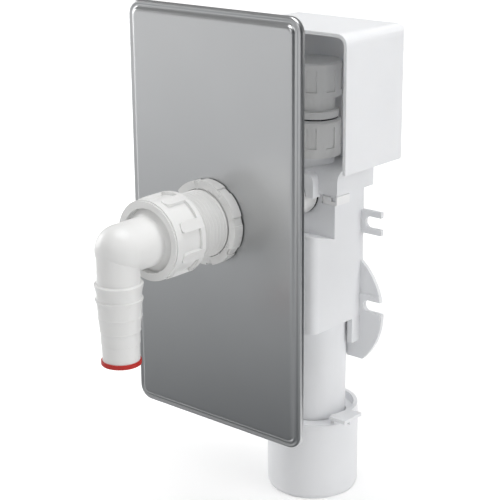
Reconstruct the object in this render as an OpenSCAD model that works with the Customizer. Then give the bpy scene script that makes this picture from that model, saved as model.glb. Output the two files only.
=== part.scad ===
/* [Outlet] */
// outside diameter of the outlet spigot in mm
spigot_d = 50; // [46:0.5:54]
// length of the outlet reducer above its chamfer in mm
reducer_len = 41; // [38:1:48]
// outside diameter of the outlet pipe in mm
pipe_d = 35.6; // [33:0.2:37]
// wall of the moulded pipes in mm
pipe_wall = 2; // [1.5:0.1:2.4]

/* [Trap body] */
// width of the trap body in mm
body_w = 44; // [42:1:50]
// wall of the trap body in mm
body_wall = 2; // [1.5:0.1:2.5]
// height of the body floor above the spigot chamfer in mm
floor_z = 96.6; // [94:0.2:99]
// distance from the outlet axis to the back of the body in mm
back_y = 14.8; // [14:0.2:17]
// share of the body height that the water seal takes
seal_share = 0.466; // [0.4:0.01:0.48]

/* [Wall bracket] */
// radius of the round wall disc in mm
disc_r = 36.3; // [34:0.1:38]
// width of the open screw slots in mm
slot_w = 6.4; // [5.5:0.1:7]
// thickness of the bracket plate in mm
bracket_t = 2.4; // [1.8:0.1:2.8]

/* [Cover plate] */
// width of the cover plate in mm
plate_w = 109; // [104:1:116]
// height of the cover plate in mm
plate_h = 211; // [206:1:220]
// depth of the pressed cover plate in mm
plate_depth = 4.2; // [4:0.1:5]
// sheet thickness of the cover plate in mm
sheet_t = 0.8; // [0.6:0.05:1]
// height of the inlet axis above the spigot chamfer in mm
inlet_z = 167.3; // [166.6:0.1:168]
// distance from the outlet axis to the finished wall in mm
wall_gap = 76.7; // [75:0.1:80]

/* [Inlet] */
// outside diameter of the threaded inlet tube in mm
thread_d = 33.25; // [32:0.05:34]
// pitch of the inlet thread in mm
thread_pitch = 2.309; // [2:0.001:2.6]
// bore of the threaded part of the inlet tube in mm
inlet_bore = 27; // [25:0.1:28]
// outside diameter of the plain part of the inlet tube in mm
inlet_pipe_d = 22.8; // [22:0.2:24]
// wall of the plain part of the inlet tube in mm
inlet_pipe_wall = 1.8; // [1.5:0.1:2.2]
// distance from the wall to the front of the union nut in mm
nut_reach = 48.8; // [48:0.1:52]

/* [Hose elbow] */
// distance from the wall to the hose tail axis in mm
tail_reach = 67.8; // [66:0.1:71]
// outside radius of the elbow arm in mm
arm_r = 12; // [11.4:0.1:12.4]
// outside radius of the hose tail in mm
tail_r = 10.1; // [9.6:0.1:10.4]
// bore radius of the hose tail in mm
tail_bore_r = 7.2; // [6:0.1:7.6]

/* [Air valve] */
// outside radius of the valve caps in mm
cap_r = 13.9; // [13.4:0.1:14.2]
// distance from the outlet axis to the valve axis across in mm
valve_x = 3.8; // [2:0.1:6]
// distance from the outlet axis to the valve axis in depth in mm
valve_y = -4.7; // [-5.5:0.1:-4]
// lift of the valve disc in mm
valve_lift = 3; // [2:0.1:3.5]

/* [Hood] */
// wall of the hood in mm
hood_wall = 2; // [1.6:0.1:2.4]
// height of the hood in mm
hood_h = 68.6; // [66:0.2:74]
// reach of the hood to the left of the outlet axis in mm
hood_left = 22; // [21:0.5:26]
// reach of the hood to the right of the outlet axis in mm
hood_right = 49.6; // [46:0.2:52]

/* [Hidden] */
$fn = 72;
fit_gap = 0.3;
run_gap = 0.05;
wall_y = -wall_gap;
spigot_r = spigot_d / 2;
pipe_r = pipe_d / 2;
pipe_top_r = pipe_r + 0.6;
half_w = body_w / 2;
inner_w = half_w - body_wall;
front_y = -28.7;
recess_y = -10.2;
block_top_z = inlet_z - 17.1;
block_h = block_top_z - floor_z;
block_drop = 0.095 * block_h;
block_back_z = block_top_z - block_drop;
ledge_z = inlet_z - 4.3;
neck_z = inlet_z + 2.9;
neck_top_z = inlet_z + 15.9;
neck_x = 28;
neck_y = -16.7;
neck_back_y = back_y - 1.5;
panel_w = 32.4;
panel_y = neck_y - 4.8;
panel_z = inlet_z + 0.9;
panel_top_z = inlet_z + 13.2;
ledge_out = 0.3;
ledge_in = 0.8;
thread_r = thread_d / 2;
root_r = thread_r - 1.3;
inlet_pipe_r = inlet_pipe_d / 2;
inlet_pipe_bore_r = inlet_pipe_r - inlet_pipe_wall;
pad_r = inlet_pipe_r + 2.4;
nipple_front_y = wall_y - 41;
nipple_step_y = wall_y + 16;
nipple_back_y = recess_y - ledge_out - 1;
gasket_t = 2;
flange_t = 3;
lip_t = 3;
gasket_y = nipple_front_y - gasket_t;
flange_y = gasket_y - flange_t;
nut_front_y = wall_y - nut_reach;
nut_back_y = wall_y - 29.5;
nut_bore_r = thread_r + 0.45;
nut_r = 1.107 * thread_r;
nut_ring_t = 4.4;
nut_lip_r = 15.6;
flange_r = thread_r - 0.3;
tail_y = wall_y - tail_reach;
dome_y = tail_y + arm_r - tail_r;
tail_len = 52.8;
tail_end_z = inlet_z - tail_len;
plug_t = 2.2;
plate_z = inlet_z - 108.1;
plate_hole_r = thread_r + 1.4;
face_y = wall_y - plate_depth;
lock_back_y = face_y - 0.6;
lock_front_y = wall_y - 10.4;
lock_hole_r = thread_r + fit_gap + 0.1;
lock_r = 21;
hood_z = inlet_z + 21.4;
hood_top = hood_z + hood_h;
hood_front_y = -38.7;
hood_back_y = 12.3;
hood_r = 6;
socket_r = 10.6;
socket_bore = 8.6;
cap_low_z = neck_top_z + 4.1;
socket_top = neck_top_z + 19.9;
cap_low_h = 19.2;
ring_z = cap_low_z + cap_low_h + 0.7;
ring_h = 3.9;
neck_h = 7.2;
cap_high_z = ring_z + ring_h + neck_h;
cap_high_h = 17.9;
disc_z = floor_z + 2.6;
low_ear_z = disc_z + 4.2;
ear_z = inlet_z - 17.3;
dip_z = floor_z + body_wall + 0.15 * block_h;
weir_z = dip_z + seal_share * block_h;
weir_y = -19.6;
inner_t = 1.6;
roof_z = block_back_z - body_wall;
roof_slope = block_drop / (recess_y - front_y);
reducer_in = pipe_r + 0.35;
lug_z = reducer_len + 2.6;
pipe_end_z = 17;
chamfer_h = 2.5;
spigot_z = -3;

module y_cyl(r, y0, y1) {
    translate([0, y1, inlet_z])
        rotate([90, 0, 0])
            cylinder(r = r, h = y1 - y0);
}

module y_ring(r1, r2, y0, y1) {
    difference() {
        y_cyl(r1, y0, y1);
        y_cyl(r2, y0 - 1, y1 + 1);
    }
}

module z_ring(r1, r2, z0, z1) {
    translate([0, 0, z0])
        difference() {
            cylinder(r = r1, h = z1 - z0);
            translate([0, 0, -1])
                cylinder(r = r2, h = z1 - z0 + 2);
        }
}

module rounded_rect(w, h, r) {
    union() {
        square([w - 2 * r, h], center = true);
        square([w, h - 2 * r], center = true);
        for (x = [-1, 1])
            for (y = [-1, 1])
                translate([x * (w / 2 - r), y * (h / 2 - r)])
                    circle(r = r, $fn = 40);
    }
}

module plate_layer(inset, y0, y1) {
    translate([0, y1, plate_z + plate_h / 2])
        rotate([90, 0, 0])
            linear_extrude(y1 - y0)
                rounded_rect(plate_w - 2 * inset, plate_h - 2 * inset, max(7.5 - inset, 1));
}

module cover_plate() {
    color([0.66, 0.67, 0.68])
        difference() {
            union() {
                plate_layer(0, wall_y - 0.4 * plate_depth, wall_y);
                plate_layer(0.5, wall_y - 0.56 * plate_depth, wall_y);
                plate_layer(1.2, wall_y - 0.64 * plate_depth, wall_y);
                plate_layer(3.8, wall_y - 0.76 * plate_depth, wall_y);
                plate_layer(4.2, wall_y - 0.9 * plate_depth, wall_y);
                plate_layer(4.8, face_y, wall_y);
            }
            plate_layer(0.5 + sheet_t, wall_y - 0.64 * plate_depth + sheet_t, wall_y + 1);
            plate_layer(4.8 + sheet_t, face_y + sheet_t, wall_y + 1);
            y_cyl(plate_hole_r, face_y - 1, wall_y + 1);
        }
}

module plate_washer() {
    color([0.16, 0.16, 0.17])
        y_ring(lock_r - 2.2, lock_hole_r, lock_back_y, face_y);
}

module plate_nut() {
    color([0.93, 0.93, 0.92])
        difference() {
            union() {
                y_cyl(lock_r - 1, lock_front_y, lock_back_y);
                y_cyl(lock_r - 0.6, lock_front_y + 0.8, lock_back_y);
                for (i = [0 : 7])
                    translate([0, 0, inlet_z])
                        rotate([0, 12 + i * 45, 0])
                            translate([0, lock_back_y, 0])
                                rotate([90, 0, 0])
                                    intersection() {
                                        cylinder(r = lock_r, h = lock_back_y - lock_front_y);
                                        translate([0, -6, 0])
                                            cube([30, 12, 20]);
                                    }
            }
            y_cyl(lock_hole_r, lock_front_y - 1, lock_back_y + 1);
        }
}

module tube_outline(length, plain) {
    bore = inlet_bore / 2;
    step = plain + 9;
    turns = floor((length - step - 7) / thread_pitch);
    ridges = [for (i = [0 : turns], k = [0 : 3])
        [k == 0 || k == 3 ? root_r : thread_r, step + 2 + i * thread_pitch + [0, 0.75, 1.15, 1.9][k]]];
    polygon(concat([[inlet_pipe_bore_r, 0], [inlet_pipe_r, 0], [inlet_pipe_r, plain],
        [thread_r, plain + 4], [thread_r, step], [root_r, step + 1]], ridges,
        [[root_r, length - 2], [thread_r - 0.4, length - 1.6], [thread_r - 0.4, length],
        [bore, length], [bore, plain + 7], [inlet_pipe_bore_r, plain + 1]]));
}

module inlet_tube() {
    color([0.9, 0.9, 0.89])
        translate([0, nipple_back_y, inlet_z])
            rotate([90, 0, 0])
                rotate_extrude()
                    tube_outline(nipple_back_y - nipple_front_y, nipple_back_y - nipple_step_y);
}

module tube_seal() {
    color([0.12, 0.12, 0.13])
        y_ring(inlet_pipe_r, inlet_pipe_bore_r + 0.2, nipple_back_y, recess_y - ledge_out);
}

module union_nut() {
    color([0.93, 0.93, 0.93])
        difference() {
            union() {
                y_cyl(nut_r, nut_front_y + 2, nut_back_y);
                y_cyl(1.08 * nut_r, nut_back_y - 2.6, nut_back_y);
                y_cyl(1.06 * nut_r, nut_front_y + 0.7, nut_front_y + nut_ring_t);
                y_cyl(1.02 * nut_r, nut_front_y, nut_front_y + nut_ring_t);
                for (i = [0 : 7])
                    translate([0, 0, inlet_z])
                        rotate([0, 20 + i * 45, 0])
                            translate([0, nut_back_y, nut_r - 0.2])
                                union() {
                                    translate([-2.6, -12.2, -2])
                                        cube([5.2, 12.2, 3.7]);
                                    translate([0, -12.2, -2])
                                        cylinder(r = 2.6, h = 3.7, $fn = 32);
                                }
            }
            y_cyl(nut_bore_r, flange_y, nut_back_y + 1);
            y_cyl(nut_lip_r, nut_front_y - 1, flange_y + 1);
        }
}

module elbow_gasket() {
    color([0.13, 0.13, 0.14])
        y_ring(flange_r, inlet_bore / 2, gasket_y, nipple_front_y);
}

module tail_profile() {
    // shares of the tail's radius and length, from the open end up
    shares = [[0, 0], [0.876, 0], [0.896, 0.152], [0.916, 0.157], [0.921, 0.258], [0.965, 0.277],
        [0.95, 0.284], [0.985, 0.371], [1.03, 0.409], [1.005, 0.42], [1.04, 0.519],
        [1.109, 0.561], [1.109, 0.568], [1.04, 0.574], [1.045, 0.614], [1.134, 0.693],
        [1.134, 0.705], [1, 0.716], [1, 1], [0, 1]];
    polygon([for (p = shares) [p[0] * tail_r, p[1] * tail_len]]);
}

module hose_elbow() {
    color([0.93, 0.93, 0.93])
        difference() {
            union() {
                y_cyl(arm_r, dome_y, flange_y + 0.5);
                y_cyl(flange_r, flange_y, gasket_y);
                translate([0, flange_y, inlet_z])
                    rotate([90, 0, 0])
                        cylinder(r1 = nut_lip_r - 0.5, r2 = arm_r, h = 3);
                translate([0, dome_y, inlet_z])
                    sphere(r = arm_r);
                translate([0, tail_y, tail_end_z])
                    rotate_extrude()
                        tail_profile();
            }
            y_cyl(arm_r - 2.2, dome_y, gasket_y + 1);
            translate([0, dome_y, inlet_z])
                sphere(r = arm_r - 2.2, $fn = 48);
            translate([0, tail_y, tail_end_z - 1])
                cylinder(r = tail_bore_r, h = tail_len);
        }
}

module blanking_plug() {
    color([0.8, 0.07, 0.06])
        translate([0, tail_y, tail_end_z])
            union() {
                translate([0, 0, -plug_t])
                    cylinder(r = 9.55, h = plug_t);
                difference() {
                    cylinder(r = tail_bore_r - fit_gap, h = 7);
                    translate([0, 0, 1.2])
                        cylinder(r = tail_bore_r - fit_gap - 1.4, h = 7);
                }
            }
}

module block_profile(grow) {
    // side outline of the body: depth to the right, height upwards
    y = recess_y + grow;
    ledge = grow > 0 ? [] : [[y + ledge_in, ledge_z], [y - ledge_out, ledge_z]];
    polygon(concat([[front_y + grow, floor_z + grow], [back_y - bracket_t, floor_z + grow],
        [back_y - bracket_t, neck_top_z - grow],
        [grow > 0 ? y : y + ledge_in, neck_top_z - grow]], ledge,
        [[grow > 0 ? y : y - ledge_out, block_back_z - grow], [front_y + grow, block_top_z - grow]]));
}

module side_solid(half, grow) {
    translate([-half, 0, 0])
        rotate([90, 0, 90])
            linear_extrude(2 * half)
                block_profile(grow);
}

module front_corner_cut() {
    for (s = [-1, 1])
        translate([s * half_w, front_y, floor_z - 1])
            difference() {
                translate([-5, -1, 0])
                    cube([10, 6, block_top_z - floor_z + 2]);
                translate([-s * 5, 5, -1])
                    cylinder(r = 5, h = block_top_z - floor_z + 4);
            }
}

module neck_profile(grow) {
    x0 = -half_w + grow;
    x1 = neck_x - grow;
    translate([x0, neck_y + grow])
        square([x1 - x0, neck_back_y - bracket_t - neck_y - grow + 1.5]);
}

module neck_side() {
    // block under the air valve, with a rounded upper front edge
    difference() {
        translate([0, 0, neck_z])
            linear_extrude(neck_top_z - neck_z)
                neck_profile(0);
        translate([-half_w - 1, neck_y, neck_top_z])
            rotate([0, 90, 0])
                difference() {
                    translate([-1, -1, 0])
                        cube([7, 7, half_w + neck_x + 2]);
                    translate([6, 6, -1])
                        cylinder(r = 6, h = half_w + neck_x + 4);
                }
    }
}

module inlet_panel() {
    // raised panel round the inlet, with rounded upper corners
    r = 4;
    translate([0, neck_y + 1, 0])
        rotate([90, 0, 0])
            linear_extrude(neck_y + 1 - panel_y)
                union() {
                    translate([-panel_w / 2, panel_z])
                        square([panel_w, panel_top_z - r - panel_z]);
                    translate([r - panel_w / 2, panel_z])
                        square([panel_w - 2 * r, panel_top_z - panel_z]);
                    for (s = [-1, 1])
                        translate([s * (panel_w / 2 - r), panel_top_z - r])
                            circle(r = r, $fn = 40);
                }
}

module trap_shell() {
    color([0.91, 0.92, 0.93])
        difference() {
            union() {
                side_solid(half_w, 0);
                neck_side();
                inlet_panel();
                y_cyl(pad_r, recess_y - ledge_out, recess_y + 1);
                translate([valve_x, valve_y, neck_top_z - 7])
                    cylinder(r = socket_r, h = socket_top - neck_top_z + 7);
            }
            front_corner_cut();
            difference() {
                side_solid(inner_w, body_wall);
                for (s = [-1, 1])
                    translate([s * inner_w, front_y + body_wall, floor_z])
                        difference() {
                            translate([-3, -1, 0])
                                cube([6, 4, 60]);
                            translate([-s * 3, 3, -1])
                                cylinder(r = 3, h = 62);
                        }
            }
            translate([0, 0, neck_z + body_wall])
                linear_extrude(neck_top_z - neck_z - 2 * body_wall)
                    difference() {
                        neck_profile(body_wall);
                        translate([-40, neck_y])
                            square([80, recess_y + body_wall - neck_y]);
                    }
            y_cyl(inlet_pipe_r + fit_gap, panel_y - 1, recess_y - ledge_out);
            y_cyl(inlet_pipe_bore_r, recess_y - 1, recess_y + body_wall + 1);
            translate([0, 0, floor_z - 1])
                intersection() {
                    cylinder(r = pipe_top_r - pipe_wall, h = body_wall + 2);
                    translate([-30, -30, 0])
                        cube([60, 30 + back_y - bracket_t, 10]);
                }
            translate([valve_x, valve_y, neck_top_z - body_wall - 1])
                cylinder(r = socket_bore, h = socket_top - neck_top_z + body_wall + 2);
            translate([-40, back_y - bracket_t, 0])
                cube([80, 20, 300]);
        }
}

module ear_pair(z, tip, thick) {
    translate([0, back_y, z])
        rotate([90, 0, 0])
            linear_extrude(thick)
                difference() {
                    square([2 * tip, 12.8], center = true);
                    for (s = [-1, 1])
                        union() {
                            translate([s * (half_w + 2.6 + slot_w / 2), 0])
                                circle(d = slot_w, $fn = 40);
                            translate([s * (half_w + 2.6 + slot_w / 2 + 15), 0])
                                square([30, slot_w], center = true);
                        }
                }
}

module trap_back() {
    color([0.9, 0.91, 0.92])
        difference() {
            union() {
                translate([-half_w, back_y - bracket_t, floor_z])
                    cube([2 * half_w, bracket_t, neck_top_z - floor_z]);
                translate([half_w - 1, back_y - bracket_t, neck_z])
                    cube([neck_x - half_w + 1, bracket_t, neck_top_z - neck_z]);
                ear_pair(ear_z, half_w + 12.9, bracket_t);
                intersection() {
                    ear_pair(low_ear_z, half_w + 13.5, bracket_t + 0.6);
                    translate([0, back_y + 1, disc_z])
                        rotate([90, 0, 0])
                            cylinder(r = disc_r, h = bracket_t + 3);
                }
                difference() {
                    translate([0, back_y, disc_z])
                        rotate([90, 0, 0])
                            cylinder(r = disc_r, h = bracket_t);
                    translate([-60, 0, 0])
                        cube([120, 60, disc_z - 27.2]);
                }
                for (s = [-1, 1])
                    translate([s > 0 ? half_w - 3 : -half_w, 5.6, floor_z - 14])
                        cube([3, back_y - bracket_t - 5.6 + 0.5, 14]);
            }
            for (s = [-1, 1])
                translate([0, back_y + 1, low_ear_z])
                    rotate([90, 0, 0])
                        linear_extrude(bracket_t + 2)
                            union() {
                                translate([s * (half_w + 2.6 + slot_w / 2), 0])
                                    circle(d = slot_w, $fn = 40);
                                translate([s * (half_w + 2.6 + slot_w / 2 + 15), 0])
                                    square([30, slot_w], center = true);
                            }
            translate([0, 0, 60])
                cylinder(r = pipe_top_r + fit_gap, h = floor_z - 60);
            translate([-half_w, 0, floor_z])
                cube([body_w, back_y - bracket_t, neck_top_z - floor_z]);
        }
}

module weir_wall() {
    color([0.9, 0.91, 0.92])
        translate([-inner_w, weir_y, floor_z + body_wall])
            cube([2 * inner_w, inner_t, weir_z - floor_z - body_wall]);
}

module upright(x0, x1, points) {
    translate([x0, 0, 0])
        rotate([90, 0, 90])
            linear_extrude(x1 - x0)
                polygon(points);
}

module dip_wall() {
    y0 = front_y + body_wall;
    color([0.9, 0.91, 0.92])
        upright(-inner_t / 2, inner_t / 2, [[y0, dip_z], [weir_y, dip_z],
            [weir_y, block_top_z - body_wall - roof_slope * (weir_y - y0)],
            [y0, block_top_z - body_wall]]);
}

module inlet_shelf() {
    y0 = recess_y + body_wall;
    y1 = back_y - bracket_t;
    color([0.9, 0.91, 0.92])
        union() {
            translate([-inner_w, weir_y, weir_z])
                cube([inner_w + inner_t / 2, y1 - weir_y, inner_t]);
            upright(-inner_t / 2, inner_t / 2, [[weir_y, weir_z], [y1, weir_z], [y1, roof_z + inner_t],
                [y0, roof_z + inner_t], [y0, roof_z], [weir_y, roof_z + roof_slope * (y0 - weir_y)]]);
            translate([-inner_t / 2, y0, roof_z])
                cube([inner_w + inner_t / 2, y1 - y0, inner_t]);
        }
}

module vent_duct() {
    y0 = recess_y + body_wall;
    z0 = roof_z + inner_t;
    z1 = neck_top_z - body_wall - 7.6;
    color([0.9, 0.91, 0.92])
        translate([0, back_y - bracket_t, 0])
            rotate([90, 0, 0])
                linear_extrude(back_y - bracket_t - y0)
                    union() {
                        translate([9, z0])
                            square([inner_t, z1 + inner_t - z0]);
                        translate([-7, z1])
                            square([16 + inner_t, inner_t]);
                        translate([-7, z1])
                            square([inner_t, neck_top_z - body_wall - z1]);
                    }
}

module outlet_pipe() {
    color([0.92, 0.93, 0.94])
        difference() {
            translate([0, 0, pipe_end_z])
                cylinder(r1 = pipe_r - 0.25, r2 = pipe_top_r, h = floor_z - pipe_end_z);
            translate([0, 0, pipe_end_z - 1])
                cylinder(r = pipe_r - pipe_wall, h = floor_z - pipe_end_z - 1);
            intersection() {
                translate([0, 0, floor_z - 4])
                    cylinder(r = pipe_r - pipe_wall, h = 6);
                translate([-30, -30, floor_z - 4])
                    cube([60, 30 + back_y - bracket_t, 6]);
            }
        }
}

module outlet_reducer() {
    wall = 2.6;
    color([0.91, 0.92, 0.93])
        difference() {
            union() {
                translate([0, 0, spigot_z])
                    cylinder(r1 = spigot_r - 1.2, r2 = spigot_r, h = chamfer_h);
                translate([0, 0, spigot_z + chamfer_h])
                    cylinder(r = spigot_r, h = reducer_len - 0.6 - spigot_z - chamfer_h);
                cylinder(r = spigot_r - 0.6, h = reducer_len);
                intersection() {
                    difference() {
                        cylinder(r = spigot_r - 0.3, h = lug_z + 2);
                        translate([0, 0, -1])
                            cylinder(r = spigot_r - wall, h = lug_z + 4);
                    }
                    translate([-30, -10, 10])
                        cube([60, 40, 80]);
                }
                difference() {
                    translate([spigot_r - 4, -12.4, lug_z])
                        cube([10.4, 15.2, 2]);
                    cylinder(r = spigot_r - wall, h = 80);
                }
                translate([spigot_r - 1.6, -5, reducer_len - 0.6])
                    cube([6, 1.8, lug_z - reducer_len + 1.1]);
            }
            translate([0, 0, spigot_z - 1])
                cylinder(r = pipe_r - pipe_wall, h = 80);
            translate([0, 0, pipe_end_z])
                cylinder(r = reducer_in, h = 80);
            translate([0, 0, spigot_z - 1])
                cylinder(r = spigot_r - wall, h = pipe_end_z - 1 - spigot_z);
            difference() {
                translate([0, 0, pipe_end_z - 2])
                    cylinder(r = spigot_r - wall, h = reducer_len - 8 - pipe_end_z);
                translate([0, 0, pipe_end_z - 3])
                    cylinder(r = reducer_in + 2.2, h = 40);
            }
            translate([0, 0, reducer_len - 7])
                cylinder(r = spigot_r - wall - 0.8, h = 4);
        }
}

module reducer_seal() {
    color([0.12, 0.12, 0.13])
        z_ring(spigot_r - 3.7, reducer_in, reducer_len - 7, reducer_len - 3);
}

module hood_outline(grow) {
    x0 = -hood_left + grow;
    x1 = hood_right - grow;
    y0 = hood_front_y - (grow > 0 ? 3 : 0);
    y1 = hood_back_y - grow;
    r = hood_r - grow;
    union() {
        translate([x0, y0])
            square([x1 - x0, y1 - y0 - r]);
        translate([x0 + r, y0])
            square([x1 - x0 - 2 * r, y1 - y0]);
        for (x = [x0 + r, x1 - r])
            translate([x, y1 - r])
                circle(r = r, $fn = 40);
    }
}

module hood_front(grow, lift) {
    // front view of the hood with rounded top corners
    x0 = -hood_left + grow;
    x1 = hood_right - grow;
    r = hood_r - grow;
    union() {
        translate([x0, hood_z + lift])
            square([x1 - x0, hood_h - lift - grow - r]);
        translate([x0 + r, hood_z + lift])
            square([x1 - x0 - 2 * r, hood_h - lift - grow]);
        for (x = [x0 + r, x1 - r])
            translate([x, hood_top - grow - r])
                circle(r = r, $fn = 40);
    }
}

module hood_side(grow) {
    // side view of the hood with a rounded upper back edge
    y1 = hood_back_y - grow;
    r = hood_r - grow;
    union() {
        translate([hood_front_y - 2, hood_z - 2])
            square([y1 - hood_front_y + 2, hood_h - grow - r + 2]);
        translate([hood_front_y - 2, hood_z - 2])
            square([y1 - r - hood_front_y + 2, hood_h - grow + 2]);
        translate([y1 - r, hood_top - grow - r])
            circle(r = r, $fn = 40);
    }
}

module hood_solid(grow) {
    intersection() {
        translate([0, 0, hood_z - 2])
            linear_extrude(hood_h + 4)
                hood_outline(grow);
        translate([0, 40, 0])
            rotate([90, 0, 0])
                linear_extrude(100)
                    hood_front(grow, -1.5 * min(grow, 1));
        translate([-60, 0, 0])
            rotate([90, 0, 90])
                linear_extrude(130)
                    hood_side(grow);
    }
}

module hood() {
    color([0.94, 0.945, 0.955])
        union() {
            difference() {
                hood_solid(0);
                hood_solid(hood_wall);
            }
            translate([-14, hood_back_y - hood_wall, neck_top_z])
                cube([neck_x + 12, hood_wall, hood_z - neck_top_z + 1]);
            translate([-hood_left, -8, neck_top_z])
                cube([hood_wall, 12, hood_z - neck_top_z + 1]);
        }
}

module clip(s) {
    // snap clip that sits on the ledge and turns round the corner
    z = ledge_z;
    y = recess_y - ledge_out;
    color([0.97, 0.97, 0.97])
        scale([s, 1, 1])
            union() {
                translate([pad_r + 0.2, y, z])
                    cube([half_w - 2.6 - pad_r - 0.2, ledge_out + ledge_in, 4]);
                translate([half_w - 3, y, z])
                    cube([4.2, ledge_out + ledge_in, 1.8]);
                translate([half_w, y, z])
                    cube([1.2, 11, 4.6]);
            }
}

module hood_clip_left() {
    clip(-1);
}

module hood_clip_right() {
    clip(1);
}

module at_valve() {
    translate([valve_x, valve_y, 0])
        children();
}

module cap_panels(z0, z1) {
    difference() {
        z_ring(cap_r + 1, cap_r - 0.8, z0, z1);
        for (i = [0 : 3])
            rotate([0, 0, 8 + i * 45])
                translate([-20, -2.6, z0 - 1])
                    cube([40, 5.2, z1 - z0 + 2]);
    }
}

module cap_blank(z, h) {
    union() {
        translate([0, 0, z])
            cylinder(r = cap_r, h = h - 1);
        translate([0, 0, z + h - 1])
            cylinder(r1 = cap_r, r2 = cap_r - 1, h = 1);
    }
}

module valve_nut() {
    color([0.9, 0.9, 0.9])
        at_valve()
            difference() {
                cap_blank(cap_low_z, cap_low_h);
                cap_panels(cap_low_z + 4.8, cap_low_z + cap_low_h - 3.5);
                translate([0, 0, cap_low_z - 1])
                    cylinder(r = socket_r + 0.4, h = cap_low_h - 2);
                translate([0, 0, cap_low_z])
                    cylinder(r = socket_bore + fit_gap, h = cap_low_h + 5);
            }
}

module valve_neck() {
    color([0.9, 0.9, 0.9])
        at_valve()
            difference() {
                union() {
                    translate([0, 0, ring_z])
                        cylinder(r = cap_r - 1.4, h = ring_h);
                    translate([0, 0, ring_z])
                        cylinder(r = socket_r, h = ring_h + neck_h + 6);
                    translate([0, 0, ring_z - 2.5])
                        cylinder(r = socket_bore, h = 4);
                }
                translate([0, 0, ring_z - 4])
                    cylinder(r = socket_bore - 1.6, h = 40);
            }
}

module valve_seal() {
    color([0.12, 0.12, 0.13])
        at_valve()
            z_ring(cap_r - 1.8, socket_bore + fit_gap, cap_low_z + cap_low_h, ring_z);
}

module valve_cap() {
    color([0.9, 0.9, 0.9])
        at_valve()
            difference() {
                cap_blank(cap_high_z, cap_high_h);
                cap_panels(cap_high_z + 3, cap_high_z + cap_high_h - 3.7);
                translate([0, 0, cap_high_z - 1])
                    cylinder(r = socket_r + fit_gap, h = cap_high_h - 1);
            }
}

module valve_disc() {
    color([0.2, 0.2, 0.21])
        at_valve()
            translate([0, 0, ring_z + ring_h + neck_h + 6])
                union() {
                    cylinder(r = socket_r - 0.3, h = 1.4);
                    translate([0, 0, -8])
                        cylinder(r = 1.5, h = 11);
                }
}

module valve_guide() {
    color([0.9, 0.9, 0.9])
        at_valve()
            translate([0, 0, ring_z + ring_h + neck_h])
                difference() {
                    union() {
                        cylinder(r = 3.2, h = 3);
                        for (a = [0, 60, 120])
                            rotate([0, 0, a])
                                translate([-(socket_bore - 1.66), -0.7, 0])
                                    cube([2 * (socket_bore - 1.66), 1.4, 3]);
                    }
                    translate([0, 0, -1])
                        cylinder(r = 1.5 + run_gap, h = 6);
                }
}

cover_plate();
plate_nut();
plate_washer();
inlet_tube();
tube_seal();
union_nut();
elbow_gasket();
hose_elbow();
blanking_plug();
trap_shell();
trap_back();
weir_wall();
dip_wall();
inlet_shelf();
vent_duct();
outlet_pipe();
outlet_reducer();
reducer_seal();
hood();
hood_clip_left();
hood_clip_right();
valve_nut();
valve_neck();
valve_seal();
valve_cap();
valve_disc();
valve_guide();
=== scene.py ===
"""Concealed trap: detailed pieces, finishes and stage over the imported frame."""
import math

import bpy
from mathutils import Matrix, Vector


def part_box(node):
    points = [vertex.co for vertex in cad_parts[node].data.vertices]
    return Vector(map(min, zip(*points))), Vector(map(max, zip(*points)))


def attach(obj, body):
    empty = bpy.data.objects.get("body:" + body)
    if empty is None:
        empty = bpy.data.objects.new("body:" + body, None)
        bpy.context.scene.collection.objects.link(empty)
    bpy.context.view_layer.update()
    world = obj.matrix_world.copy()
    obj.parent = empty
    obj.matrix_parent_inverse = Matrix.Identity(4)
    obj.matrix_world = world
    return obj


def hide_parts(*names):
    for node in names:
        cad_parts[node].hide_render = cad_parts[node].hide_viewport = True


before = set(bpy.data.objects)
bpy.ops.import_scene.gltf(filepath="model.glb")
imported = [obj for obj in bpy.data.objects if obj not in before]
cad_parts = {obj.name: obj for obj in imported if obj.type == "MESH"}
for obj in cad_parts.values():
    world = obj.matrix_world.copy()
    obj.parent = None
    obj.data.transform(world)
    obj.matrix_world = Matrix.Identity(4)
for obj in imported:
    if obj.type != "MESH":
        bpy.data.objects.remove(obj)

bl_info = {
    "name": "Concealed trap",
    "version": (1, 0, 0),
    "blender": (4, 5, 0),
    "location": "View3D > Sidebar > Trap",
    "description": "Pressed plate, threaded tube, moulded finishes and stage of a concealed trap",
    "category": "Object",
}

bpy.context.view_layer.update()
MM = 0.001
SHARP_ANGLE = 38  # edges that turn by more than this, in degrees, count as sharp
FLAT_ANGLE = 0.6  # faces that turn by less than this, in degrees, are one flat face
JOIN_DISTANCE = 0.00001
SKIN_STRENGTH = 0.12

# Stage, in metres and degrees
FLOOR_REACH = 6
CARD_LIFT = 0.0005
CARD_GAP = 0.01
LAMP_AIM = (0, -0.04, 0.14)
TOP_LAMP, TOP_SIZE = (0.1, 0.0, 1.5), 1.1
RIGHT_LAMP = (1.4, 0.28, 0.6)
LEFT_LAMP = (-1.35, -0.35, 0.5)
FRONT_LAMP = (0.35, -1.3, 0.9)
SIDE_SIZE = 0.8
CAMERA_TURN, CAMERA_TILT, CAMERA_ROLL = 40.8, 17.48, -0.48
CAMERA_TARGET = (0.02119, -0.0767, 0.15525)
CAMERA_DISTANCE = 0.68808


def linear(code):
    """Scene-linear colour of an sRGB hex code."""
    parts = [int(code[i:i + 2], 16) / 255 for i in (1, 3, 5)]
    return tuple(c / 12.92 if c <= 0.04045 else ((c + 0.055) / 1.055) ** 2.4 for c in parts)


def span(node):
    """Lowest and highest corner of a CAD node, in millimetres."""
    low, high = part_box(node)
    return low * 1000, high * 1000


PLATE_LOW, PLATE_HIGH = span("cover_plate")
TUBE_LOW, TUBE_HIGH = span("inlet_tube")
INLET_Z = (TUBE_LOW.z + TUBE_HIGH.z) / 2
FLOOR_Z = span("outlet_reducer")[0].z


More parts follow.
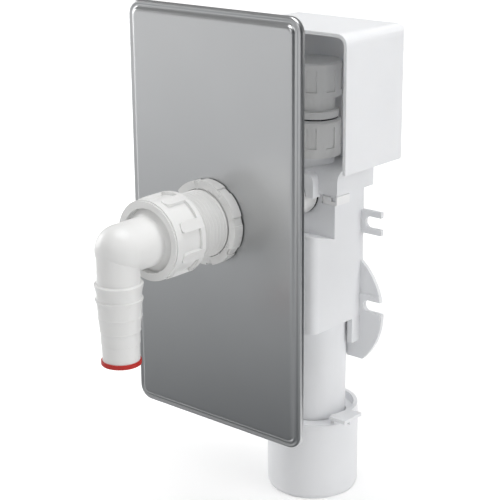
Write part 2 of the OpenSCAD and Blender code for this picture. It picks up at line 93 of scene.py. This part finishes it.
def length(name, text, value):
    """A length setting, given in millimetres."""
    return bpy.props.FloatProperty(
        name=name, description=text, default=value * MM, min=0, unit="LENGTH", precision=5)


def colour(name, text, code):
    """A colour setting, given as an sRGB hex code."""
    return bpy.props.FloatVectorProperty(
        name=name, description=text, default=linear(code), min=0, max=1, size=3, subtype="COLOR")


def lamp_power(name, text, value):
    """A lamp's power, in watts."""
    return bpy.props.FloatProperty(
        name=name, description=text, default=value, min=0, subtype="POWER")


class PlateSettings(bpy.types.PropertyGroup):
    """Sizes and colour of the pressed cover plate."""
    sheet: length("Sheet", "Thickness of the steel sheet", 0.8)
    corner: length("Corner", "Outside radius of the plate's corners", 7.5)
    hole: length("Hole", "Radius of the hole for the inlet tube", 18.0)
    steel: colour("Steel", "Colour of the stainless steel", "#C9CACB")


class ThreadSettings(bpy.types.PropertyGroup):
    """Sizes of the thread on the inlet tube."""
    pitch: length("Pitch", "Distance from one turn to the next", 2.309)
    depth: length("Depth", "Depth of the thread", 1.48)
    bore: length("Bore", "Radius of the bore in the threaded part", 13.5)
    pipe: length("Pipe", "Outside radius of the plain part", 11.4)
    pipe_bore: length("Pipe bore", "Radius of the bore in the plain part", 9.6)
    reach: length("Threaded reach", "How far the threaded part runs behind the tiles", 16.0)


class MouldingSettings(bpy.types.PropertyGroup):
    """Edge rounding and colours of the moulded parts."""
    nut_edge: length("Nut edges", "Rounding of the nuts' edges", 0.55)
    body_edge: length("Body edges", "Rounding of the body's edges", 0.45)
    hood_edge: length("Hood edges", "Rounding of the hood's rim", 0.4)
    nut_white: colour("Nut white", "Colour of the nuts, the tube and the elbow", "#ECECEB")
    body_white: colour("Body white", "Colour of the body, the pipe and the hood", "#F4F5F7")
    clip_white: colour("Clip white", "Colour of the two clips", "#FCFCFC")
    plug_red: colour("Plug red", "Colour of the blanking plug", "#C0211B")
    seal_black: colour("Seal black", "Colour of the rubber seals", "#232425")


class StageSettings(bpy.types.PropertyGroup):
    """Floor, lamps and camera."""
    floor: colour("Floor", "Colour of the floor", "#ECECEC")
    lens: bpy.props.FloatProperty(
        name="Lens", description="Focal length of the camera on a 36 mm sensor",
        default=102.63 * MM, min=0.01, unit="LENGTH", precision=5)
    top: lamp_power("Top lamp", "Power of the large lamp overhead", 12.6)
    right: lamp_power("Right lamp", "Power of the lamp on the right", 7.8)
    left: lamp_power("Left lamp", "Power of the lamp on the left", 7.5)
    front: lamp_power("Front lamp", "Power of the lamp beside the camera", 3.0)
    sky: bpy.props.FloatProperty(
        name="Ambient", description="Strength of the light from all round", default=0.27, min=0,
        subtype="FACTOR")


class TrapSettings(bpy.types.PropertyGroup):
    """All settings of the trap."""
    plate: bpy.props.PointerProperty(type=PlateSettings)
    thread: bpy.props.PointerProperty(type=ThreadSettings)
    moulding: bpy.props.PointerProperty(type=MouldingSettings)
    stage: bpy.props.PointerProperty(type=StageSettings)


# Materials

def add_node(tree, kind, values=None, links=None, **settings):
    """Adds a node, with plain values and links for its inputs."""
    node = tree.nodes.new(kind)
    for key, value in settings.items():
        setattr(node, key, value)
    for key, value in (values or {}).items():
        node.inputs[key].default_value = value
    for key, socket in (links or {}).items():
        tree.links.new(socket, node.inputs[key])
    return node


def new_material(name):
    """An empty material with its output and a Principled shader."""
    made = bpy.data.materials.get(name)
    if made:
        return made, None, None
    made = bpy.data.materials.new(name)
    made.use_nodes = True
    tree = made.node_tree
    tree.nodes.clear()
    shader = add_node(tree, "ShaderNodeBsdfPrincipled")
    add_node(tree, "ShaderNodeOutputMaterial", links={"Surface": shader.outputs["BSDF"]})
    return made, tree, shader


def grain(tree, size_mm, detail=3.0, stretch=(1, 1, 1)):
    """Noise whose blotches measure size_mm, in the part's own metres."""
    place = add_node(tree, "ShaderNodeTexCoord")
    scaled = add_node(tree, "ShaderNodeMapping", {"Scale": [s / (size_mm * MM) for s in stretch]},
                      {"Vector": place.outputs["Object"]})
    return add_node(tree, "ShaderNodeTexNoise", {"Scale": 1.0, "Detail": detail},
                    {"Vector": scaled.outputs["Vector"]})


def vary(tree, noise, low, high):
    """Maps a noise onto a narrow band of values."""
    return add_node(tree, "ShaderNodeMapRange",
                    {"From Min": 0.3, "From Max": 0.7, "To Min": low, "To Max": high},
                    {"Value": noise.outputs["Fac"]}).outputs["Result"]


def tint(tree, noise, shade, other):
    """Blends two near colours by a noise."""
    mix = add_node(tree, "ShaderNodeMix", data_type="RGBA")
    mix.inputs[6].default_value = (*shade, 1)
    mix.inputs[7].default_value = (*other, 1)
    tree.links.new(noise.outputs["Fac"], mix.inputs[0])
    return mix.outputs[2]


def satin_stainless_steel(settings):
    # Cold rolled stainless sheet, pressed and then satin ground along its length.
    # The grinding draws soft lines down the face and spreads its reflections.
    made, tree, shader = new_material("Stainless steel, pressed and satin ground")
    if tree is None:
        return made
    # grinding lines are about 0.05 mm; drawn 0.35 mm wide so that they show
    lines = grain(tree, 0.35, 2.0, (1, 1, 0.012))
    cloud = grain(tree, 38, 2.0)
    steel = tuple(settings.plate.steel)
    tree.links.new(tint(tree, cloud, steel, tuple(c * 0.95 for c in steel)),
                   shader.inputs["Base Color"])
    tree.links.new(vary(tree, lines, 0.30, 0.33), shader.inputs["Roughness"])
    bump = add_node(tree, "ShaderNodeBump", {"Strength": SKIN_STRENGTH, "Distance": 0.004 * MM},
                    {"Height": lines.outputs["Fac"]})
    tree.links.new(bump.outputs["Normal"], shader.inputs["Normal"])
    shader.inputs["Metallic"].default_value = 1.0
    return made


def plastic(name, shade, roughness, relief_mm, ior=1.49, scatter=0.06, reach_mm=1.2):
    """A moulded plastic with the fine texture of its mould."""
    made, tree, shader = new_material(name)
    if tree is None:
        return made
    shade = tuple(shade)
    skin = grain(tree, 0.9, 4.0)
    flow = grain(tree, 22, 2.0)
    tree.links.new(tint(tree, flow, shade, tuple(c * 0.965 for c in shade)),
                   shader.inputs["Base Color"])
    tree.links.new(vary(tree, skin, roughness - 0.015, roughness + 0.02),
                   shader.inputs["Roughness"])
    bump = add_node(tree, "ShaderNodeBump",
                    {"Strength": SKIN_STRENGTH, "Distance": relief_mm * MM},
                    {"Height": skin.outputs["Fac"]})
    tree.links.new(bump.outputs["Normal"], shader.inputs["Normal"])
    shader.inputs["IOR"].default_value = ior
    shader.inputs["Subsurface Weight"].default_value = scatter
    shader.inputs["Subsurface Radius"].default_value = (1.0, 0.95, 0.9)
    shader.inputs["Subsurface Scale"].default_value = reach_mm * MM
    return made


def white_polypropylene(settings):
    # Polypropylene, injection moulded in polished tools: neutral white with a soft
    # gloss, and a little light gets into it so that its edges look milky.
    return plastic("Polypropylene, injection moulded white", settings.moulding.nut_white,
                   0.29, 0.005)


def body_polypropylene(settings):
    # Polypropylene from a finely blasted tool: a cooler white and duller than the nuts.
    return plastic("Polypropylene, injection moulded cool white",
                   settings.moulding.body_white, 0.44, 0.010)


def hood_polypropylene(settings):
    # The same polypropylene in a thin wall: light enters a little deeper than in the
    # body. It doesn't reach the valve underneath, which stays in the hood's shade.
    return plastic("Polypropylene, injection moulded thin wall",
                   settings.moulding.body_white, 0.44, 0.006, 1.49, 0.25, 2.5)


def bright_acetal(settings):
    # Acetal, injection moulded: a hard, slippery plastic, whiter than the body.
    return plastic("Acetal, injection moulded bright white", settings.moulding.clip_white,
                   0.3, 0.004, 1.48)


def red_polyethylene(settings):
    # Soft polyethylene, injection moulded: a waxy, evenly coloured red.
    return plastic("Polyethylene, injection moulded red", settings.moulding.plug_red,
                   0.42, 0.008, 1.51, 0.03)


def black_rubber(settings):
    # EPDM rubber, compression moulded: matt black with a dusty bloom.
    return plastic("EPDM rubber, compression moulded", settings.moulding.seal_black,
                   0.62, 0.02, 1.52, 0.0)


def dress(thing, material):
    """Gives every slot of a piece one material."""
    if not thing.material_slots:
        thing.data.materials.append(material)
    for place in thing.material_slots:
        place.link = "OBJECT"
        place.material = material


# Meshes

def new_piece(name, verts, faces, body, slot, material, *nodes):
    """A smooth-shaded mesh piece that stands for CAD nodes and rides on a body."""
    mesh = bpy.data.meshes.new(name)
    mesh.from_pydata([Vector(v) * MM for v in verts], [], faces)
    mesh.validate()
    mesh.update()
    mesh.shade_smooth()
    mesh.set_sharp_from_angle(angle=math.radians(SHARP_ANGLE))
    made = bpy.data.objects.new(name, mesh)
    bpy.context.scene.collection.objects.link(made)
    dress(made, material)
    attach(made, body)
    if nodes:
        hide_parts(*nodes)
    return made


def tidy_normals():
    """A node group that joins the split corners of a CAD mesh and shades it smooth."""
    name = "Join split corners"
    tree = bpy.data.node_groups.get(name)
    if tree:
        return tree
    tree = bpy.data.node_groups.new(name, "GeometryNodeTree")
    tree.interface.new_socket("Geometry", in_out="INPUT", socket_type="NodeSocketGeometry")
    tree.interface.new_socket("Geometry", in_out="OUTPUT", socket_type="NodeSocketGeometry")
    start = add_node(tree, "NodeGroupInput")
    plain = add_node(tree, "GeometryNodeRemoveAttribute", {"Name": "custom_normal"},
                     {"Geometry": start.outputs[0]})
    joined = add_node(tree, "GeometryNodeMergeByDistance", {"Distance": JOIN_DISTANCE},
                      {"Geometry": plain.outputs[0]})
    edges = add_node(tree, "GeometryNodeSetShadeSmooth", {"Shade Smooth": True},
                     {"Geometry": joined.outputs[0]}, domain="EDGE")
    soft = add_node(tree, "GeometryNodeSetShadeSmooth", {"Shade Smooth": True},
                    {"Geometry": edges.outputs[0]}, domain="FACE")
    add_node(tree, "NodeGroupOutput", links={0: soft.outputs[0]})
    return tree


def round_edges(node, width, steps=3, angle=SHARP_ANGLE):
    """Rounds the sharp edges of a CAD node with modifiers; its mesh stays as it is."""
    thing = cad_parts[node]
    join = thing.modifiers.new("join", "NODES")
    join.node_group = tidy_normals()
    flat = thing.modifiers.new("flat faces", "DECIMATE")
    flat.decimate_type = "DISSOLVE"
    flat.angle_limit = math.radians(FLAT_ANGLE)
    bevel = thing.modifiers.new("edges", "BEVEL")
    bevel.width = width
    bevel.segments = steps
    bevel.limit_method = "ANGLE"
    bevel.angle_limit = math.radians(angle)
    bevel.miter_outer = "MITER_ARC"
    bevel.use_clamp_overlap = True
    bevel.harden_normals = False
    shade = thing.modifiers.new("normals", "WEIGHTED_NORMAL")
    shade.mode = "FACE_AREA"
    shade.keep_sharp = False
    shade.weight = 60


def smooth_curve(points, steps):
    """Points on a smooth line through the given points."""
    out = []
    for i in range(len(points) - 1):
        a = points[max(i - 1, 0)]
        b = points[i]
        c = points[i + 1]
        d = points[min(i + 2, len(points) - 1)]
        for k in range(steps):
            t = k / steps
            out.append(tuple(
                0.5 * (2 * q + (r - p) * t + (2 * p - 5 * q + 4 * r - s) * t * t
                       + (3 * q - p - 3 * r + s) * t ** 3)
                for p, q, r, s in zip(a, b, c, d)))
    out.append(points[-1])
    return out


def plate_ring(inset, depth, corner, per_corner=14, per_side=10):
    """One loop round the plate at an inset from its outline and a depth from the wall."""
    left, right = PLATE_LOW.x + inset, PLATE_HIGH.x - inset
    low, high = PLATE_LOW.z + inset, PLATE_HIGH.z - inset
    radius = max(corner - inset, 1.2)
    loop = []
    corners = [(right - radius, high - radius, 0), (left + radius, high - radius, 90),
               (left + radius, low + radius, 180), (right - radius, low + radius, 270)]
    for n, (x, z, start) in enumerate(corners):
        for k in range(per_corner + 1):
            a = math.radians(start + 90 * k / per_corner)
            loop.append((x + radius * math.cos(a), z + radius * math.sin(a)))
        x2, z2, start2 = corners[(n + 1) % 4]
        a = math.radians(start2)
        end = (x2 + radius * math.cos(a), z2 + radius * math.sin(a))
        begin = loop[-1]
        for k in range(1, per_side):
            t = k / per_side
            loop.append((begin[0] + (end[0] - begin[0]) * t, begin[1] + (end[1] - begin[1]) * t))
    return [(x, PLATE_HIGH.y - depth, z) for x, z in loop]


def bridge(faces, first, second, count):
    """Joins two loops of the same count with quads."""
    for k in range(count):
        n = (k + 1) % count
        faces.append((first + k, first + n, second + n, second + k))


def round_ring(reference, radius, depth):
    """A circle about the inlet axis with its points at the angles of another loop."""
    out = []
    for x, _, z in reference:
        a = math.atan2(z - INLET_Z, x)
        out.append((radius * math.cos(a), PLATE_HIGH.y - depth, INLET_Z + radius * math.sin(a)))
    return out


class TRAP_OT_cover_plate(bpy.types.Operator):
    """Builds the pressed steel cover plate with its beaded rim."""
    bl_idname = "trap.cover_plate"
    bl_label = "Cover plate"

    def execute(self, context):
        settings = context.scene.trap
        corner = settings.plate.corner / MM
        sheet = settings.plate.sheet / MM
        hole = settings.plate.hole / MM
        depth = PLATE_HIGH.y - PLATE_LOW.y
        rim = smooth_curve([
            (0.02, 0.0), (0.0, 0.7), (0.0, 1.35), (0.12, 1.95), (0.55, 2.5), (1.15, 2.72),
            (1.75, 2.6), (2.3, 2.42), (2.95, 2.46), (3.5, 2.8), (3.95, 3.4), (4.45, 3.9),
            (5.15, depth - 0.04), (6.2, depth)], 4)
        outer = [plate_ring(s, d, corner) for s, d in rim]
        # the back follows the front one sheet further in
        back = []
        for k, (s, d) in enumerate(rim):
            s0, d0 = rim[max(k - 1, 0)]
            s1, d1 = rim[min(k + 1, len(rim) - 1)]
            size = math.hypot(s1 - s0, d1 - d0)
            back.append((s + sheet * (d1 - d0) / size, max(d - sheet * (s1 - s0) / size, 0.0)))
        back[0] = (sheet, 0.0)
        inner = [plate_ring(s, d, corner) for s, d in back]
        count = len(outer[0])
        mid = [[tuple(a + (b - a) * t for a, b in zip(p, q))
                for p, q in zip(outer[-1], round_ring(outer[-1], hole, depth))]
               for t in (0.35, 0.7)]
        loops = outer + mid + [round_ring(outer[-1], hole, depth),
                               round_ring(outer[-1], hole - 0.05, depth - 0.3),
                               round_ring(outer[-1], hole, depth - sheet)] + inner[::-1]
        verts = [p for loop in loops for p in loop]
        faces = []
        for k in range(len(loops) - 1):
            bridge(faces, k * count, (k + 1) * count, count)
        bridge(faces, (len(loops) - 1) * count, 0, count)
        new_piece("cover_plate_pressed", verts, faces, "trap", "steel_plate",
                  satin_stainless_steel(settings), "cover_plate")
        return {"FINISHED"}


def thread_radius(u, crest, depth):
    """Radius of the thread at a share u of its pitch: steep flanks, a narrow crest and root."""
    rise = 1 - abs(2 * (u % 1.0) - 1)
    flank = min(max((rise - 0.12) / 0.76, 0), 1)
    return crest - depth * flank


class TRAP_OT_inlet_tube(bpy.types.Operator):
    """Builds the inlet tube with its real helical thread."""
    bl_idname = "trap.inlet_tube"
    bl_label = "Threaded inlet tube"

    def execute(self, context):
        settings = context.scene.trap
        pitch = settings.thread.pitch / MM
        depth = settings.thread.depth / MM
        bore = settings.thread.bore / MM
        pipe = settings.thread.pipe / MM
        pipe_bore = settings.thread.pipe_bore / MM
        crest = (TUBE_HIGH.x - TUBE_LOW.x) / 2
        front, back = TUBE_LOW.y, TUBE_HIGH.y
        shoulder = PLATE_HIGH.y + settings.thread.reach / MM
        count = 90
        rows = [(front, crest - 0.4, 0.0), (front + 0.4, crest - 0.35, 0.0)]
        y = front + 0.8
        while y < shoulder - 6.5:
            # the thread fades in and out over its first and last turn
            share = min(1.0, (y - front - 0.6) / 1.5, max(0.0, (shoulder - 6.8 - y) / 2))
            rows.append((y, crest, share))
            y += pitch / 9
        rows += [(shoulder - 6, crest, 0), (shoulder - 4.4, crest, 0),
                 (shoulder - 3.8, crest - 0.2, 0), (shoulder - 0.5, pipe + 0.5, 0),
                 (shoulder, pipe, 0), (shoulder + 1, pipe, 0),
                 (back - 0.6, pipe, 0), (back - 0.2, pipe - 0.15, 0), (back, pipe - 0.5, 0),
                 (back, pipe_bore, 0), (shoulder - 1, pipe_bore, 0), (shoulder - 7, bore, 0),
                 (front, bore, 0)]
        verts = []
        for y, radius, share in rows:
            for k in range(count):
                a = 2 * math.pi * k / count
                turned = thread_radius((y - front) / pitch + k / count, crest, depth)
                r = radius + (turned - radius) * max(share, 0)
                verts.append((r * math.cos(a), y, INLET_Z + r * math.sin(a)))
        faces = []
        for k in range(len(rows)):
            bridge(faces, k * count, (k + 1) % len(rows) * count, count)
        new_piece("inlet_tube_threaded", verts, faces, "trap", "white_plastic",
                  white_polypropylene(settings), "inlet_tube")
        return {"FINISHED"}


class TRAP_OT_nuts(bpy.types.Operator):
    """Rounds and finishes the lock nut, the union nut, the elbow and its plug."""
    bl_idname = "trap.nuts"
    bl_label = "Nuts, elbow and plug"

    def execute(self, context):
        settings = context.scene.trap
        white = white_polypropylene(settings)
        for node in ("plate_nut", "union_nut"):
            round_edges(node, settings.moulding.nut_edge)
            dress(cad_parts[node], white)
        round_edges("hose_elbow", 0.25 * MM, 2, 30)
        dress(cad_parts["hose_elbow"], white)
        round_edges("blanking_plug", 0.35 * MM)
        dress(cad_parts["blanking_plug"], red_polyethylene(settings))
        return {"FINISHED"}


class TRAP_OT_body(bpy.types.Operator):
    """Rounds and finishes the trap body, its inner walls, the pipe and the sleeve."""
    bl_idname = "trap.body"
    bl_label = "Trap body and outlet"

    def execute(self, context):
        settings = context.scene.trap
        finish = body_polypropylene(settings)
        for node in ("trap_shell", "trap_back", "outlet_pipe", "outlet_reducer"):
            round_edges(node, settings.moulding.body_edge)
            dress(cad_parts[node], finish)
        for node in ("weir_wall", "dip_wall", "inlet_shelf", "vent_duct"):
            round_edges(node, 0.15 * MM, 2)
            dress(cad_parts[node], finish)
        return {"FINISHED"}


class TRAP_OT_hood(bpy.types.Operator):
    """Rounds and finishes the hood and its two clips."""
    bl_idname = "trap.hood"
    bl_label = "Hood and clips"

    def execute(self, context):
        settings = context.scene.trap
        round_edges("hood", settings.moulding.hood_edge)
        dress(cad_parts["hood"], hood_polypropylene(settings))
        for node in ("hood_clip_left", "hood_clip_right"):
            round_edges(node, 0.2 * MM, 2)
            dress(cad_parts[node], bright_acetal(settings))
        return {"FINISHED"}


class TRAP_OT_valve(bpy.types.Operator):
    """Rounds and finishes the air valve."""
    bl_idname = "trap.valve"
    bl_label = "Air valve"

    def execute(self, context):
        settings = context.scene.trap
        for node in ("valve_nut", "valve_neck", "valve_cap"):
            round_edges(node, 0.4 * MM)
            dress(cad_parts[node], white_polypropylene(settings))
        round_edges("valve_guide", 0.15 * MM, 2)
        dress(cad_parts["valve_guide"], white_polypropylene(settings))
        return {"FINISHED"}


class TRAP_OT_seals(bpy.types.Operator):
    """Rounds and finishes the rubber rings and the valve disc."""
    bl_idname = "trap.seals"
    bl_label = "Seals"

    def execute(self, context):
        settings = context.scene.trap
        for node in ("plate_washer", "tube_seal", "elbow_gasket", "reducer_seal", "valve_seal",
                     "valve_disc"):
            round_edges(node, 0.2 * MM, 2)
            dress(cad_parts[node], black_rubber(settings))
        return {"FINISHED"}


# Stage

def area_lamp(name, place, aim, size, power):
    """A square soft lamp that looks at a point."""
    data = bpy.data.lights.new(name, "AREA")
    data.shape = "SQUARE"
    data.size = size
    data.energy = power
    lamp = bpy.data.objects.new(name, data)
    lamp.location = place
    lamp.rotation_mode = "QUATERNION"
    lamp.rotation_quaternion = (Vector(aim) - Vector(place)).to_track_quat("-Z", "Y")
    bpy.context.scene.collection.objects.link(lamp)
    return lamp


def reflected_card(name, place, corners, material):
    """A card that only reflections see."""
    mesh = bpy.data.meshes.new(name)
    mesh.from_pydata(corners, [], [(0, 1, 2, 3)])
    card = bpy.data.objects.new(name, mesh)
    card.location = place
    bpy.context.scene.collection.objects.link(card)
    dress(card, material)
    card.visible_camera = False
    card.visible_diffuse = False
    card.visible_shadow = False
    card.visible_transmission = False


def floor_paper(settings):
    # Seamless paper, calendered: pale, with soft shadows. It also glows for the camera
    # and for reflections, so that it shows near white without lighting the piece.
    made, tree, shader = new_material("Seamless paper, calendered")
    if tree is None:
        return made
    shade = tuple(settings.stage.floor)
    fibres = grain(tree, 1.5, 3.0)
    tree.links.new(tint(tree, fibres, shade, tuple(c * 0.985 for c in shade)),
                   shader.inputs["Base Color"])
    shader.inputs["Roughness"].default_value = 0.9
    path = add_node(tree, "ShaderNodeLightPath")
    seen = add_node(tree, "ShaderNodeMath", operation="MAXIMUM",
                    links={0: path.outputs["Is Camera Ray"], 1: path.outputs["Is Glossy Ray"]})
    seen = add_node(tree, "ShaderNodeMath", operation="MAXIMUM",
                    links={0: seen.outputs[0], 1: path.outputs["Is Transmission Ray"]})
    # painted shade: the glow is weaker near the trap and full white farther out, so the floor and
    # its reflections in the steel darken near the piece
    place = add_node(tree, "ShaderNodeTexCoord")
    far = add_node(tree, "ShaderNodeVectorMath", links={0: place.outputs["Object"]},
                   operation="LENGTH")
    painted_shade_near_piece = add_node(tree, "ShaderNodeMapRange",
                     {"From Min": 0.1, "From Max": 0.9, "To Min": 0.28, "To Max": 1.0},
                     {"Value": far.outputs["Value"]})
    strength = add_node(tree, "ShaderNodeMath", operation="MULTIPLY",
                        links={0: seen.outputs[0], 1: painted_shade_near_piece.outputs["Result"]})
    glow = add_node(tree, "ShaderNodeEmission", {"Color": (1, 1, 1, 1)},
                    {"Strength": strength.outputs[0]})
    both = add_node(tree, "ShaderNodeAddShader",
                    links={0: shader.outputs["BSDF"], 1: glow.outputs[0]})
    out = next(n for n in tree.nodes if n.type == "OUTPUT_MATERIAL")
    tree.links.new(both.outputs[0], out.inputs["Surface"])
    return made


def painted_reflection_ramp():
    # Glowing card, ramped from dark grey near the plate to white farther off: a painted
    # reflection that stands in for the dim end of a studio, which the steel reflects, so that the
    # plate darkens towards its lower edge.
    made, tree, shader = new_material("Glowing card, painted reflection ramp")
    if tree is None:
        return made
    place = add_node(tree, "ShaderNodeTexCoord")
    far = add_node(tree, "ShaderNodeVectorMath", links={0: place.outputs["Object"]},
                   operation="LENGTH")
    ramp = add_node(tree, "ShaderNodeValToRGB")
    reach = add_node(tree, "ShaderNodeMath", {1: 2.0}, {0: far.outputs["Value"]},
                     operation="DIVIDE")
    tree.links.new(reach.outputs[0], ramp.inputs["Fac"])
    stops = ramp.color_ramp.elements
    for spot, code in ((0.06, "#76787A"), (0.14, "#9EA0A1"), (0.42, "#E4E5E6")):
        stop = stops.new(spot)
        stop.color = (*linear(code), 1)
    stops[0].color = (*linear("#666869"), 1)
    stops[-1].color = (*linear("#FAFAFA"), 1)
    glow = add_node(tree, "ShaderNodeEmission", {"Strength": 1.0},
                    {"Color": ramp.outputs["Color"]})
    out = next(n for n in tree.nodes if n.type == "OUTPUT_MATERIAL")
    tree.links.new(glow.outputs[0], out.inputs["Surface"])
    return made


def dark_reflection_card():
    # Dark grey card that only reflections see: a painted dark reflection on the steel, like the
    # flag that a photographer stands beside polished metal.
    made, tree, shader = new_material("Dark card, painted reflection")
    if tree is None:
        return made
    shader.inputs["Base Color"].default_value = (*linear("#4A4D50"), 1)
    shader.inputs["Roughness"].default_value = 0.8
    return made


class TRAP_OT_stage(bpy.types.Operator):
    """Sets the floor, the lamps, the world and the camera."""
    bl_idname = "trap.stage"
    bl_label = "Stage"

    def execute(self, context):
        scene = context.scene
        settings = scene.trap
        low = FLOOR_Z * MM
        mesh = bpy.data.meshes.new("floor")
        far = FLOOR_REACH
        mesh.from_pydata([(-far, -far, low), (far, -far, low), (far, far, low),
                          (-far, far, low)], [], [(0, 1, 2, 3)])
        floor = bpy.data.objects.new("floor", mesh)
        scene.collection.objects.link(floor)
        dress(floor, floor_paper(settings))
        # cards that only reflections see, painted reflections: the glowing one in front of the
        # plate darkens the plate's lower part, the dark ones keep the rim's outer side dark
        low += CARD_LIFT
        reflected_card("card", (0, PLATE_LOW.y * MM - CARD_GAP, low),
                       [(-2.2, -2.2, 0), (0.9, -2.2, 0), (0.9, 0.0, 0), (-2.2, 0.0, 0)],
                       painted_reflection_ramp())
        reflected_card("side_card", (0.75, 0.0, low),
                       [(0, -0.9, 0), (0, 0.5, 0), (0, 0.5, 0.9), (0, -0.9, 0.9)], dark_reflection_card())
        reflected_card("rear_card", (0.0, 0.0, low),
                       [(0.1, 0.06, 0), (1.6, 0.06, 0), (1.6, 1.5, 0), (0.1, 1.5, 0)],
                       dark_reflection_card())

        area_lamp("top", TOP_LAMP, LAMP_AIM, TOP_SIZE, settings.stage.top)
        right_lamp = area_lamp("right", RIGHT_LAMP, LAMP_AIM, SIDE_SIZE, settings.stage.right)
        # kept out of the rim's reflections, which are dark on that side
        right_lamp.visible_glossy = False
        area_lamp("left", LEFT_LAMP, LAMP_AIM, SIDE_SIZE, settings.stage.left)
        area_lamp("front", FRONT_LAMP, LAMP_AIM, SIDE_SIZE, settings.stage.front)

        world = bpy.data.worlds.new("Studio")
        scene.world = world
        world.use_nodes = True
        tree = world.node_tree
        tree.nodes.clear()
        path = add_node(tree, "ShaderNodeLightPath")
        seen = add_node(tree, "ShaderNodeMath", operation="MAXIMUM", links={
            0: path.outputs["Is Camera Ray"], 1: path.outputs["Is Transmission Ray"]})
        strength = add_node(tree, "ShaderNodeMapRange", {
            "To Min": settings.stage.sky, "To Max": 1.0}, {"Value": seen.outputs[0]})
        back = add_node(tree, "ShaderNodeBackground", {"Color": (1, 1, 1, 1)},
                        {"Strength": strength.outputs["Result"]})
        add_node(tree, "ShaderNodeOutputWorld", links={"Surface": back.outputs[0]})

        turn, tilt, roll = (math.radians(v) for v in
                            (CAMERA_TURN, CAMERA_TILT, CAMERA_ROLL))
        away = Vector((math.sin(turn) * math.cos(tilt), -math.cos(turn) * math.cos(tilt),
                       math.sin(tilt)))
        right = Vector((math.cos(turn), math.sin(turn), 0))
        up = away.cross(right)
        across = math.cos(roll) * right + math.sin(roll) * up
        top = -math.sin(roll) * right + math.cos(roll) * up
        target = Vector(CAMERA_TARGET)
        data = bpy.data.cameras.new("camera")
        data.sensor_width = 36
        data.lens = settings.stage.lens / MM
        data.clip_start = 0.01
        camera = bpy.data.objects.new("camera", data)
        scene.collection.objects.link(camera)
        pose = Matrix((across, top, away)).transposed().to_4x4()
        pose.translation = target + away * CAMERA_DISTANCE
        camera.matrix_world = pose
        scene.camera = camera
        scene.view_settings.view_transform = "Standard"
        return {"FINISHED"}


class TRAP_PT_panel(bpy.types.Panel):
    """Lists the pieces and their settings."""
    bl_idname = "TRAP_PT_panel"
    bl_label = "Concealed trap"
    bl_space_type = "VIEW_3D"
    bl_region_type = "UI"
    bl_category = "Trap"

    def draw(self, context):
        settings = context.scene.trap
        for group in (settings.plate, settings.thread, settings.moulding, settings.stage):
            box = self.layout.box()
            for key in group.bl_rna.properties.keys():
                if key not in ("rna_type", "name"):
                    box.prop(group, key)
        for operator in OPERATORS:
            self.layout.operator(operator.bl_idname)


SETTINGS = (PlateSettings, ThreadSettings, MouldingSettings, StageSettings, TrapSettings)
OPERATORS = (TRAP_OT_cover_plate, TRAP_OT_inlet_tube, TRAP_OT_nuts, TRAP_OT_body, TRAP_OT_hood,
             TRAP_OT_valve, TRAP_OT_seals, TRAP_OT_stage)
CLASSES = (*SETTINGS, *OPERATORS, TRAP_PT_panel)


def register():
    """Registers the classes and the scene's settings."""
    for item in CLASSES:
        bpy.utils.register_class(item)
    bpy.types.Scene.trap = bpy.props.PointerProperty(type=TrapSettings)


def unregister():
    """Takes the settings and the classes away again."""
    del bpy.types.Scene.trap
    for item in reversed(CLASSES):
        bpy.utils.unregister_class(item)


def main():
    """Builds every piece and the stage."""
    register()
    bpy.ops.trap.cover_plate()
    bpy.ops.trap.inlet_tube()
    bpy.ops.trap.nuts()
    bpy.ops.trap.body()
    bpy.ops.trap.hood()
    bpy.ops.trap.valve()
    bpy.ops.trap.seals()
    bpy.ops.trap.stage()


if __name__ == "__main__":
    main()
